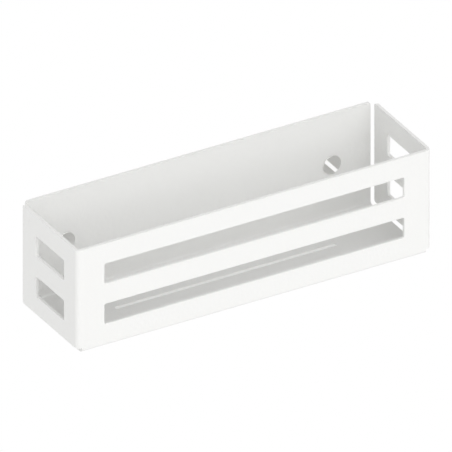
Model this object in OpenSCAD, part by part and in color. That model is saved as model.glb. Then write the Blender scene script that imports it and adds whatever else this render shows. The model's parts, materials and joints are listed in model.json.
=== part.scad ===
// Small cable tray for a desk: one folded steel sheet with rows of openings in
// its front and its sides, and two magnets set into its back.
// +X runs to the right, +Y to the back, +Z up. The origin is on the underside,
// at the middle of the tray's length and depth.

/* [Tray] */
// Length of the tray, from side to side
tray_length = 240; // [180:5:400]
// Depth of the tray, from front to back
tray_depth = 67.5; // [50:0.5:120]
// Height of the tray
tray_height = 70; // [52:1:140]

/* [Sheet] */
// Thickness of the steel sheet
sheet = 2; // [1:0.25:3]
// Inside radius of every fold
fold_radius = 1.5; // [1:0.25:4]
// Radius on the free corners of the walls
wall_corner = 1.5; // [0.5:0.25:4]

/* [Openings in the front and the sides] */
// Rows of openings, one above the other
opening_rows = 2; // [1:1:3]
// Height of each opening
opening_height = 13.6; // [6:0.2:18]
// Radius in the corners of each opening
opening_corner = 1; // [0.5:0.25:2.5]
// Distance from each end of the front to its openings
front_margin = 18.5; // [8:0.5:60]
// Distance from the upright edges of a side to its openings
side_margin = 15.5; // [8:0.5:20]

/* [Slot in the floor] */
// Width of the slot
floor_slot_width = 2.5; // [1.5:0.25:8]
// Distance from each end of the tray to the slot
floor_slot_margin = 45; // [15:1:80]

/* [Magnets] */
// Diameter of each magnet
magnet_diameter = 12; // [6:0.5:20]
// Thickness of each magnet
magnet_thickness = 3; // [2:0.5:8]
// Radius round the edges of each magnet
magnet_edge = 0.2; // [0.1:0.05:0.5]
// Distance from each end of the tray to the middle of a magnet
magnet_inset = 30; // [15:1:80]
// Gap all round a magnet in its hole, none for a press fit
magnet_clearance = 0; // [0:0.05:0.2]

/* [Hidden] */
$fn = 64;

// Outside radius of every fold, which is where the flat walls end
fold = sheet + fold_radius;

// Flat walls, measured between the folds
front_flat = tray_length - 2 * fold;
floor_flat = tray_depth - 2 * fold;
wall_rise = tray_height - fold;

// Bars between the openings share the height above the floor sheet
open_height = tray_height - sheet;
bar_height = (open_height - opening_rows * opening_height) / (opening_rows + 1);
row_pitch = opening_height + bar_height;

front_opening = tray_length - 2 * front_margin;
side_opening = floor_flat + fold - 2 * side_margin;
floor_slot = tray_length - 2 * floor_slot_margin;

// Magnets sit halfway up the back, above the floor sheet
magnet_height = sheet + open_height / 2;
magnet_offset = tray_length / 2 - magnet_inset;
back_face = tray_depth / 2;

// How far a cut runs past the sheet on both faces
cut = 1;

powder_white = "white";
nickel = "lightslategray";

// Rectangle from [0, 0] with a radius on each corner
module rounded_rectangle(size, radius) {
    translate([radius, 0])
        square([size.x - 2 * radius, size.y]);
    translate([0, radius])
        square([size.x, size.y - 2 * radius]);
    for (x = [radius, size.x - radius], y = [radius, size.y - radius])
        translate([x, y])
            circle(r = radius);
}

// Slot with round ends, along X, centred on the origin
module round_slot(length, width) {
    square([length - width, width], center = true);
    for (side = [-1, 1])
        translate([side * (length - width) / 2, 0])
            circle(d = width);
}

// Quarter of a tube along +Z: a fold from a wall along -Y to a wall along -X
module fold_along(length) {
    linear_extrude(length)
        intersection() {
            difference() {
                circle(r = fold);
                circle(r = fold_radius);
            }
            translate([-fold, -fold])
                square(fold);
        }
}

// Rows of openings, cut upright through a wall that runs along +X from the origin
module opening_rows_cut(length) {
    for (row = [0 : opening_rows - 1])
        translate([0, -cut, sheet + bar_height + row * row_pitch])
            rotate([90, 0, 0])
                mirror([0, 0, 1])
                    linear_extrude(sheet + 2 * cut)
                        rounded_rectangle([length, opening_height], opening_corner);
}

// Front wall, between the folds to the sides
module front_wall() {
    difference() {
        translate([-front_flat / 2, -tray_depth / 2, fold])
            cube([front_flat, sheet, wall_rise]);
        translate([-front_opening / 2, -tray_depth / 2, 0])
            opening_rows_cut(front_opening);
    }
}

// Right side wall, free at the back, at the bottom and at the top
module side_wall() {
    length = floor_flat + fold;
    difference() {
        translate([tray_length / 2 - sheet, -tray_depth / 2, fold])
            rotate([90, 0, 90])
                linear_extrude(sheet)
                    difference() {
                        translate([-wall_rise, 0])
                            rounded_rectangle([wall_rise + length, wall_rise], wall_corner);
                        translate([-wall_rise, 0])
                            square([wall_rise + fold, wall_rise]);
                    }
        translate([tray_length / 2, -tray_depth / 2 + side_margin, 0])
            rotate([0, 0, 90])
                opening_rows_cut(side_opening);
    }
}

// Floor, with its long slot
module floor_wall() {
    difference() {
        translate([-front_flat / 2, -floor_flat / 2, 0])
            cube([front_flat, floor_flat, sheet]);
        translate([0, 0, -cut])
            linear_extrude(sheet + 2 * cut)
                round_slot(floor_slot, floor_slot_width);
    }
}

// Hole for one magnet, through the back wall
module magnet_hole() {
    rotate([-90, 0, 0])
        cylinder(d = magnet_diameter + 2 * magnet_clearance, h = sheet + 2 * cut);
}

// Back wall, free at both ends and at the top
module back_wall() {
    difference() {
        translate([-front_flat / 2, back_face, 0])
            rotate([90, 0, 0])
                linear_extrude(sheet)
                    difference() {
                        rounded_rectangle([front_flat, tray_height], wall_corner);
                        square([front_flat, fold]);
                    }
        for (side = [-1, 1])
            translate([side * magnet_offset, back_face - sheet - cut, magnet_height])
                magnet_hole();
    }
}

// The whole folded sheet
module folded_tray() {
    color(powder_white) {
        front_wall();
        floor_wall();
        back_wall();
        // Upright folds from the front to the sides
        for (side = [0, 1])
            mirror([side, 0, 0]) {
                side_wall();
                translate([tray_length / 2 - fold, fold - tray_depth / 2, fold])
                    rotate([0, 0, 90])
                        fold_along(wall_rise);
            }
        // Lying folds from the front to the floor and from the floor to the back
        for (side = [0, 1])
            mirror([0, side, 0])
                translate([-front_flat / 2, fold - tray_depth / 2, fold])
                    rotate([90, 0, 90])
                        fold_along(front_flat);
    }
}

// One magnet, flush with the outside of the back
module magnet() {
    radius = magnet_diameter / 2;
    color(nickel)
        translate([0, back_face, magnet_height])
            rotate([90, 0, 0])
                rotate_extrude()
                    intersection() {
                        translate([-radius, 0])
                            rounded_rectangle([magnet_diameter, magnet_thickness], magnet_edge);
                        square([radius, magnet_thickness]);
                    }
}

module magnet_left() {
    translate([-magnet_offset, 0, 0])
        magnet();
}

module magnet_right() {
    translate([magnet_offset, 0, 0])
        magnet();
}

folded_tray();
magnet_left();
magnet_right();
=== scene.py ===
# Small cable tray for a desk: one folded, powder-coated steel sheet with two
# nickel-plated disc magnets set into its back. All measures are in metres.
import json
from math import cos, pi, radians, sin

import bpy
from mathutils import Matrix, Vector

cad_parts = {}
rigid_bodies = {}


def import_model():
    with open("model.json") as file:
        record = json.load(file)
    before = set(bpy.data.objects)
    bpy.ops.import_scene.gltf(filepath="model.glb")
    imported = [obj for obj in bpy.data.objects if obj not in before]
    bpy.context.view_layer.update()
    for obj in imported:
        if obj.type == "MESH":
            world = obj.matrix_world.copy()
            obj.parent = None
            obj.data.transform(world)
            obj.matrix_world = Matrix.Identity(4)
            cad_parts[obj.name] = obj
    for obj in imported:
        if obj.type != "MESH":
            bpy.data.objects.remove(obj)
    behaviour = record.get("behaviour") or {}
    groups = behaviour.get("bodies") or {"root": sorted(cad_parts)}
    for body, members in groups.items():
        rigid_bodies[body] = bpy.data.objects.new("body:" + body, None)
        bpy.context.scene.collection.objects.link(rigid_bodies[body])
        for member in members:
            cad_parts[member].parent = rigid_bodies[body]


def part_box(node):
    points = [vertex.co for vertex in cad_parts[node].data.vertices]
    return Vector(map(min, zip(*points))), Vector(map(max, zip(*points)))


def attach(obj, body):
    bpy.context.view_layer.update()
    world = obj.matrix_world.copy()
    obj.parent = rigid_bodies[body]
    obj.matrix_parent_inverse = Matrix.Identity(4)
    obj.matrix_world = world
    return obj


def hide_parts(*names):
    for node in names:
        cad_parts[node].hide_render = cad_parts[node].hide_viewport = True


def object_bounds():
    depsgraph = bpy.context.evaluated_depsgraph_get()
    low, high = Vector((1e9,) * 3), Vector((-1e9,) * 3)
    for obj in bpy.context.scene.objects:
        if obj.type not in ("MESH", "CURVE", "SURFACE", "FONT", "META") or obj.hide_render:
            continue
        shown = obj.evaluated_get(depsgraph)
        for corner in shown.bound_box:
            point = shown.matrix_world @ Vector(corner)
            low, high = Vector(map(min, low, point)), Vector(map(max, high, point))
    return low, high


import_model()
cad_low, cad_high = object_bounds()

# Sheet
SHEET = 0.002
INNER_FOLD = 0.0015
FOLD = SHEET + INNER_FOLD
WALL_CORNER = 0.0015

# Softened rims of the sheet
RIM = 0.00015
RIM_STEPS = 3

# Openings
ROWS = 2
OPENING_HEIGHT = 0.0136
OPENING_CORNER = 0.001
FRONT_MARGIN = 0.0185
SIDE_MARGIN = 0.0155
SLOT_WIDTH = 0.0025
SLOT_MARGIN = 0.045

# Magnets
MAGNET_SIDES = 96
MAGNET_EDGE = 0.0002
MAGNET_EDGE_STEPS = 5

# Steps round a fold, a corner and a quarter of the slot's round ends
FOLD_STEPS = 10
CORNER_STEPS = 6
SLOT_STEPS = 12

# Places closer than this are the same, and points closer than a quarter of it are merged
SAME = 0.00002
MERGE = SAME / 4

# Edges sharper than this are bevelled
SHARP = radians(50)

tray_low, tray_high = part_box("folded_tray")
LEFT, FRONT, BOTTOM = tray_low
RIGHT, BACK, TOP = tray_high

# Where the flat walls end and the folds begin
FLAT_LEFT = LEFT + FOLD
FLAT_RIGHT = RIGHT - FOLD
FLAT_FRONT = FRONT + FOLD
FLAT_BACK = BACK - FOLD
FLAT_BOTTOM = BOTTOM + FOLD

# Bars and openings share the height above the floor sheet
BAR = (TOP - BOTTOM - SHEET - ROWS * OPENING_HEIGHT) / (ROWS + 1)
ROW_CENTRES = [BOTTOM + SHEET + BAR + OPENING_HEIGHT / 2 + row * (OPENING_HEIGHT + BAR)
               for row in range(ROWS)]


# ---- small helpers ----

def clear_selection():
    """Deselect every object, so that a new primitive is alone."""
    for thing in bpy.context.view_layer.objects:
        thing.select_set(False)


def only(thing):
    """Select one object and make it the active one."""
    clear_selection()
    thing.select_set(True)
    bpy.context.view_layer.objects.active = thing


def edit(thing):
    """Open one object in edit mode."""
    only(thing)
    bpy.ops.object.mode_set(mode="EDIT")


def apply_place(thing):
    """Move the object's place, turn and size into its mesh."""
    only(thing)
    bpy.ops.object.transform_apply(location=True, rotation=True, scale=True)


def apply_modifier(thing, kind, **values):
    """Add one modifier with its values, and apply it."""
    only(thing)
    modifier = thing.modifiers.new(kind.lower(), kind)
    for name, value in values.items():
        setattr(modifier, name, value)
    bpy.ops.object.modifier_apply(modifier=modifier.name)


def smooth(thing):
    """Shade smoothly, with the large flat faces kept flat."""
    only(thing)
    bpy.ops.object.shade_smooth()
    apply_modifier(thing, "WEIGHTED_NORMAL", mode="FACE_AREA")


def pick_vertices(thing, test):
    """In object mode, select the vertices that pass the test, and nothing else."""
    mesh = thing.data
    for face in mesh.polygons:
        face.select = False
    for edge in mesh.edges:
        edge.select = False
    for vertex in mesh.vertices:
        vertex.select = test(vertex.co)


def pick_edges(thing, test):
    """In object mode, select the edges whose two ends pass the test."""
    mesh = thing.data
    for face in mesh.polygons:
        face.select = False
    for vertex in mesh.vertices:
        vertex.select = False
    for edge in mesh.edges:
        ends = [mesh.vertices[index] for index in edge.vertices]
        edge.select = all(test(end.co) for end in ends)
        if edge.select:
            for end in ends:
                end.select = True


# ---- outlines of the flat walls ----

def every_corner(point):
    """Test that every vertex passes."""
    return True


def outline(name, centre, size, turn, corners=every_corner, radius=0, steps=CORNER_STEPS):
    """Flat rectangle turned into a wall's plane, as a loop of edges.

    corners is a test on a vertex: the ones that pass get the radius.
    """
    clear_selection()
    bpy.ops.mesh.primitive_plane_add(size=1, location=centre, rotation=turn)
    loop = bpy.context.object
    loop.name = name
    loop.scale = (size[0], size[1], 1)
    apply_place(loop)
    if radius:
        pick_vertices(loop, corners)
        edit(loop)
        bpy.ops.mesh.select_mode(type="VERT")
        bpy.ops.mesh.bevel(offset_type="OFFSET", offset=radius, segments=steps,
                           profile=0.5, affect="VERTICES")
        bpy.ops.object.mode_set(mode="OBJECT")
    edit(loop)
    bpy.ops.mesh.select_all(action="SELECT")
    bpy.ops.mesh.delete(type="ONLY_FACE")
    bpy.ops.object.mode_set(mode="OBJECT")
    return loop


def round_outline(name, centre, radius, turn):
    """Circle in a wall's plane, as a loop of edges."""
    clear_selection()
    bpy.ops.mesh.primitive_circle_add(vertices=MAGNET_SIDES, radius=radius,
                                      location=centre, rotation=turn)
    loop = bpy.context.object
    loop.name = name
    apply_place(loop)
    return loop


def fill_wall(edge_loop, holes):
    """Join a wall's outline and its holes, and fill the sheet between them."""
    clear_selection()
    for hole in holes:
        hole.select_set(True)
    edge_loop.select_set(True)
    bpy.context.view_layer.objects.active = edge_loop
    bpy.ops.object.join()
    edit(edge_loop)
    bpy.ops.mesh.select_all(action="SELECT")
    bpy.ops.mesh.fill(use_beauty=True)
    bpy.ops.object.mode_set(mode="OBJECT")
    return edge_loop


# Turns of a flat outline into the plane of each wall
FLAT = (0, 0, 0)
UPRIGHT = (pi / 2, 0, 0)
SIDEWAYS = (pi / 2, 0, pi / 2)


def front_wall():
    """Front with its rows of long openings."""
    middle = (FLAT_LEFT + FLAT_RIGHT) / 2
    size = (FLAT_RIGHT - FLAT_LEFT, TOP - FLAT_BOTTOM)
    wall = outline("front_wall", (middle, FRONT, (FLAT_BOTTOM + TOP) / 2), size, UPRIGHT)
    opening = (RIGHT - LEFT - 2 * FRONT_MARGIN, OPENING_HEIGHT)
    holes = [outline("front_opening", (middle, FRONT, height), opening, UPRIGHT,
                     radius=OPENING_CORNER)
             for height in ROW_CENTRES]
    return fill_wall(wall, holes)


def side_wall(face):
    """Wall at one end: free at the back, at the bottom and at the top."""
    length = FLAT_BACK - FLAT_FRONT
    place = (face, (FLAT_FRONT + FLAT_BACK) / 2, (FLAT_BOTTOM + TOP) / 2)
    wall = outline("side_wall", place, (length, TOP - FLAT_BOTTOM), SIDEWAYS,
                   lambda point: point.y > 0, WALL_CORNER)
    low = FRONT + SIDE_MARGIN
    high = FLAT_BACK - SIDE_MARGIN
    holes = [outline("side_opening", (face, (low + high) / 2, height),
                     (high - low, OPENING_HEIGHT), SIDEWAYS, radius=OPENING_CORNER)
             for height in ROW_CENTRES]
    return fill_wall(wall, holes)


def floor_wall():
    """Floor with its slot, whose ends are round."""
    size = (FLAT_RIGHT - FLAT_LEFT, FLAT_BACK - FLAT_FRONT)
    centre = ((FLAT_LEFT + FLAT_RIGHT) / 2, (FLAT_FRONT + FLAT_BACK) / 2, BOTTOM)
    wall = outline("floor_wall", centre, size, FLAT)
    slot = outline("floor_slot", centre, (RIGHT - LEFT - 2 * SLOT_MARGIN, SLOT_WIDTH), FLAT,
                   radius=SLOT_WIDTH / 2 - MERGE, steps=SLOT_STEPS)
    return fill_wall(wall, [slot])


def magnet_place(node):
    """Middle and radius of one magnet."""
    low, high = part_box(node)
    middle = (Vector(low) + Vector(high)) / 2
    return middle, (high[0] - low[0]) / 2


def back_wall():
    """Back with a round hole for each magnet, its top corners rounded."""
    middle = (FLAT_LEFT + FLAT_RIGHT) / 2
    size = (FLAT_RIGHT - FLAT_LEFT, TOP - FLAT_BOTTOM)
    height = (FLAT_BOTTOM + TOP) / 2
    wall = outline("back_wall", (middle, BACK, height), size, UPRIGHT,
                   lambda point: point.z > height, WALL_CORNER)
    holes = []
    for node in ("magnet_left", "magnet_right"):
        place, radius = magnet_place(node)
        holes.append(round_outline("magnet_hole", (place.x, BACK, place.z), radius, UPRIGHT))
    return fill_wall(wall, holes)


# ---- folds ----

def fold_edge(sheet, test, centre, axis, angle):
    """Spin the edge that passes the test a quarter turn, as the fold next to it."""
    pick_edges(sheet, test)
    edit(sheet)
    bpy.ops.mesh.select_mode(type="EDGE")
    bpy.ops.mesh.spin(steps=FOLD_STEPS, angle=angle, center=centre, axis=axis)
    bpy.ops.object.mode_set(mode="OBJECT")


def near(value, target):
    """Whether two places are the same."""
    return abs(value - target) < SAME


def add_folds(sheet):
    """The two lying folds from the floor, and the two upright folds from the front."""
    for edge_y, sense in ((FLAT_FRONT, 1), (FLAT_BACK, -1)):
        fold_edge(sheet, lambda point, y=edge_y: near(point.y, y) and near(point.z, BOTTOM),
                  (0, edge_y, FLAT_BOTTOM), (1, 0, 0), sense * pi / 2)
    for edge_x, sense in ((FLAT_LEFT, 1), (FLAT_RIGHT, -1)):
        fold_edge(sheet, lambda point, x=edge_x: near(point.x, x) and near(point.y, FRONT),
                  (edge_x, FLAT_FRONT, 0), (0, 0, 1), sense * pi / 2)


def tray_sheet():
    """The whole folded sheet, with its thickness and its softened rims."""
    walls = [front_wall(), side_wall(LEFT), side_wall(RIGHT), floor_wall(), back_wall()]
    clear_selection()
    for wall in walls:
        wall.select_set(True)
    sheet = walls[0]
    bpy.context.view_layer.objects.active = sheet
    bpy.ops.object.join()
    sheet.name = "tray_sheet"
    add_folds(sheet)
    edit(sheet)
    bpy.ops.mesh.select_all(action="SELECT")
    bpy.ops.mesh.remove_doubles(threshold=MERGE)
    bpy.ops.mesh.normals_make_consistent(inside=False)
    bpy.ops.object.mode_set(mode="OBJECT")
    apply_modifier(sheet, "SOLIDIFY", thickness=SHEET, offset=-1, use_even_offset=True)
    apply_modifier(sheet, "BEVEL", width=RIM, segments=RIM_STEPS, limit_method="ANGLE",
                   angle_limit=SHARP, loop_slide=False, use_clamp_overlap=False)
    smooth(sheet)
    return sheet


# ---- magnets ----

def magnet_disc(node):
    """Turned disc with a small radius round both of its edges."""
    low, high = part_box(node)
    place, radius = magnet_place(node)
    clear_selection()
    bpy.ops.mesh.primitive_cylinder_add(vertices=MAGNET_SIDES, radius=radius,
                                        depth=high[1] - low[1], location=place,
                                        rotation=UPRIGHT)
    disc = bpy.context.object
    apply_place(disc)
    disc.name = node + "_disc"
    apply_modifier(disc, "BEVEL", width=MAGNET_EDGE, segments=MAGNET_EDGE_STEPS,
                   limit_method="ANGLE", angle_limit=SHARP, use_clamp_overlap=False)
    smooth(disc)
    return disc


# ---- materials ----

# Most of a noise texture's values lie between these
NOISE_LOW = 0.3
NOISE_HIGH = 0.7


def new_material(name):
    """Empty material with a Principled shader and Object coordinates."""
    material = bpy.data.materials.new(name)
    material.use_nodes = True
    nodes = material.node_tree.nodes
    shader = nodes["Principled BSDF"]
    place = nodes.new("ShaderNodeTexCoord")
    place.location = (-1000, 0)
    return material, material.node_tree, shader, place.outputs["Object"]


def noise(tree, source, scale, detail, roughness=0.5):
    """Noise texture: scale in patterns to a metre, detail in octaves."""
    node = tree.nodes.new("ShaderNodeTexNoise")
    node.inputs["Scale"].default_value = scale
    node.inputs["Detail"].default_value = detail
    node.inputs["Roughness"].default_value = roughness
    tree.links.new(source, node.inputs["Vector"])
    return node.outputs["Fac"]


def spread(tree, source, low, high):
    """Map the usual range of a noise onto low to high."""
    node = tree.nodes.new("ShaderNodeMapRange")
    node.inputs["From Min"].default_value = NOISE_LOW
    node.inputs["From Max"].default_value = NOISE_HIGH
    node.inputs["To Min"].default_value = low
    node.inputs["To Max"].default_value = high
    tree.links.new(source, node.inputs["Value"])
    return node.outputs["Result"]


def two_tones(tree, source, first, second):
    """Colour that wanders between two close tones."""
    node = tree.nodes.new("ShaderNodeMix")
    node.data_type = "RGBA"
    node.inputs["A"].default_value = (*first, 1)
    node.inputs["B"].default_value = (*second, 1)
    tree.links.new(source, node.inputs["Factor"])
    return node.outputs["Result"]


def bump(tree, height, distance, strength, below=None):
    """Relief of a given depth in metres, on top of the relief below it."""
    node = tree.nodes.new("ShaderNodeBump")
    node.inputs["Distance"].default_value = distance
    node.inputs["Strength"].default_value = strength
    tree.links.new(height, node.inputs["Height"])
    if below is not None:
        tree.links.new(below, node.inputs["Normal"])
    return node.outputs["Normal"]


def powder_coat():
    """Fine matt white powder coat: soft orange peel under a fine grain."""
    material, tree, shader, place = new_material("powder_coat_white")
    peel = noise(tree, place, scale=420, detail=2)
    grain = noise(tree, place, scale=2600, detail=3, roughness=0.6)
    cloud = noise(tree, place, scale=35, detail=2)
    tone = two_tones(tree, cloud, (0.796, 0.796, 0.784), (0.804, 0.804, 0.792))
    tree.links.new(tone, shader.inputs["Base Color"])
    tree.links.new(spread(tree, grain, low=0.52, high=0.62), shader.inputs["Roughness"])
    soft = bump(tree, peel, distance=0.00016, strength=0.9)
    fine = bump(tree, grain, distance=0.00005, strength=0.9, below=soft)
    tree.links.new(fine, shader.inputs["Normal"])
    shader.inputs["Specular IOR Level"].default_value = 0.3
    return material


def nickel_plate():
    """Bright nickel plating with faint handling marks."""
    material, tree, shader, place = new_material("nickel_bright")
    marks = noise(tree, place, scale=900, detail=4, roughness=0.65)
    waves = noise(tree, place, scale=160, detail=1)
    tone = two_tones(tree, marks, (0.95, 0.945, 0.935), (0.97, 0.968, 0.96))
    tree.links.new(tone, shader.inputs["Base Color"])
    tree.links.new(spread(tree, marks, low=0.01, high=0.035), shader.inputs["Roughness"])
    relief = bump(tree, waves, distance=0.000001, strength=0.15)
    tree.links.new(relief, shader.inputs["Normal"])
    shader.inputs["Metallic"].default_value = 1
    return material


# ---- light, floor and camera ----

# Four wide soft lights at one height: azimuth from the front towards the right, strength
LIGHT_RISE = 30
LIGHT_FOCUS = 6
SOFT_LIGHTS = {"front": (0, 3), "right": (90, 1), "back": (180, 2), "left": (270, 1.5)}

# Floor of the scene, a little below the tray
FLOOR_SIZE = 6
FLOOR_GAP = 0.0003

# Parallel camera: turn (negative is to the left) and rise in degrees, distance, width of
# the view, and shift to the right and up
VIEW_TURN = -30
VIEW_RISE = 30
VIEW_DISTANCE = 1
VIEW_WIDTH = 0.265
VIEW_RIGHT = 0.0002
VIEW_UP = 0.0008


def direction(azimuth, elevation):
    """Unit vector towards a light or the camera, azimuth 0 being the front."""
    turn, rise = radians(azimuth), radians(elevation)
    return Vector((sin(turn) * cos(rise), -cos(turn) * cos(rise), sin(rise)))


def soft_light(tree, source, aim, strength, so_far):
    """One wide soft light, added to the lights so far."""
    dot = tree.nodes.new("ShaderNodeVectorMath")
    dot.operation = "DOT_PRODUCT"
    dot.inputs[1].default_value = aim
    tree.links.new(source, dot.inputs[0])
    front = tree.nodes.new("ShaderNodeMath")
    front.operation = "MAXIMUM"
    front.inputs[1].default_value = 0
    tree.links.new(dot.outputs["Value"], front.inputs[0])
    lobe = tree.nodes.new("ShaderNodeMath")
    lobe.operation = "POWER"
    lobe.inputs[1].default_value = LIGHT_FOCUS
    tree.links.new(front.outputs[0], lobe.inputs[0])
    total = tree.nodes.new("ShaderNodeMath")
    total.operation = "MULTIPLY_ADD"
    total.inputs[1].default_value = strength
    total.inputs[2].default_value = 0
    tree.links.new(lobe.outputs[0], total.inputs[0])
    if so_far is not None:
        tree.links.new(so_far, total.inputs[2])
    return total.outputs[0]


def studio_light():
    """Soft lights all round, with white added below the horizon."""
    world = bpy.data.worlds.new("studio")
    world.use_nodes = True
    tree = world.node_tree
    place = tree.nodes.new("ShaderNodeTexCoord")
    light = None
    for azimuth, strength in SOFT_LIGHTS.values():
        light = soft_light(tree, place.outputs["Generated"], direction(azimuth, LIGHT_RISE),
                           strength, light)
    height = tree.nodes.new("ShaderNodeSeparateXYZ")
    tree.links.new(place.outputs["Generated"], height.inputs[0])
    below = tree.nodes.new("ShaderNodeMath")
    below.operation = "LESS_THAN"
    below.inputs[1].default_value = 0
    tree.links.new(height.outputs["Z"], below.inputs[0])
    total = tree.nodes.new("ShaderNodeMath")
    total.operation = "ADD"
    tree.links.new(light, total.inputs[0])
    tree.links.new(below.outputs[0], total.inputs[1])
    tree.links.new(total.outputs[0], tree.nodes["Background"].inputs["Color"])
    bpy.context.scene.world = world


def pale_floor():
    """Glowing white floor just under the tray, with no shadow on it."""
    clear_selection()
    bpy.ops.mesh.primitive_plane_add(size=FLOOR_SIZE, location=(0, 0, BOTTOM - FLOOR_GAP))
    floor = bpy.context.object
    floor.name = "studio_floor"
    apply_place(floor)
    material = bpy.data.materials.new("studio_floor")
    material.use_nodes = True
    shader = material.node_tree.nodes["Principled BSDF"]
    shader.inputs["Base Color"].default_value = (0, 0, 0, 1)
    shader.inputs["Roughness"].default_value = 1
    shader.inputs["Specular IOR Level"].default_value = 0
    shader.inputs["Emission Color"].default_value = (1, 1, 1, 1)
    shader.inputs["Emission Strength"].default_value = 1
    floor.data.materials.append(material)


def camera():
    """Parallel view from the left and above."""
    turn = radians(VIEW_TURN)
    back = direction(VIEW_TURN, VIEW_RISE)
    right = Vector((cos(turn), sin(turn), 0))
    up = back.cross(right)
    middle = (Vector(cad_low) + Vector(cad_high)) / 2
    lens = bpy.data.cameras.new("camera")
    lens.type = "ORTHO"
    lens.ortho_scale = VIEW_WIDTH
    eye = bpy.data.objects.new("camera", lens)
    eye.location = middle + right * VIEW_RIGHT + up * VIEW_UP + back * VIEW_DISTANCE
    eye.rotation_euler = (-back).to_track_quat("-Z", "Y").to_euler()
    bpy.context.scene.collection.objects.link(eye)
    bpy.context.scene.camera = eye
    bpy.context.scene.view_settings.view_transform = "Standard"


def finish_piece(piece, node, material):
    """Give a piece its finish and its body, and hide its CAD node."""
    piece.data.materials.clear()
    piece.data.materials.append(material)
    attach(piece, "root")
    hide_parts(node)


camera()
studio_light()
pale_floor()
finish_piece(tray_sheet(), "folded_tray", powder_coat())
plating = nickel_plate()
for magnet in ("magnet_left", "magnet_right"):
    finish_piece(magnet_disc(magnet), magnet, plating)
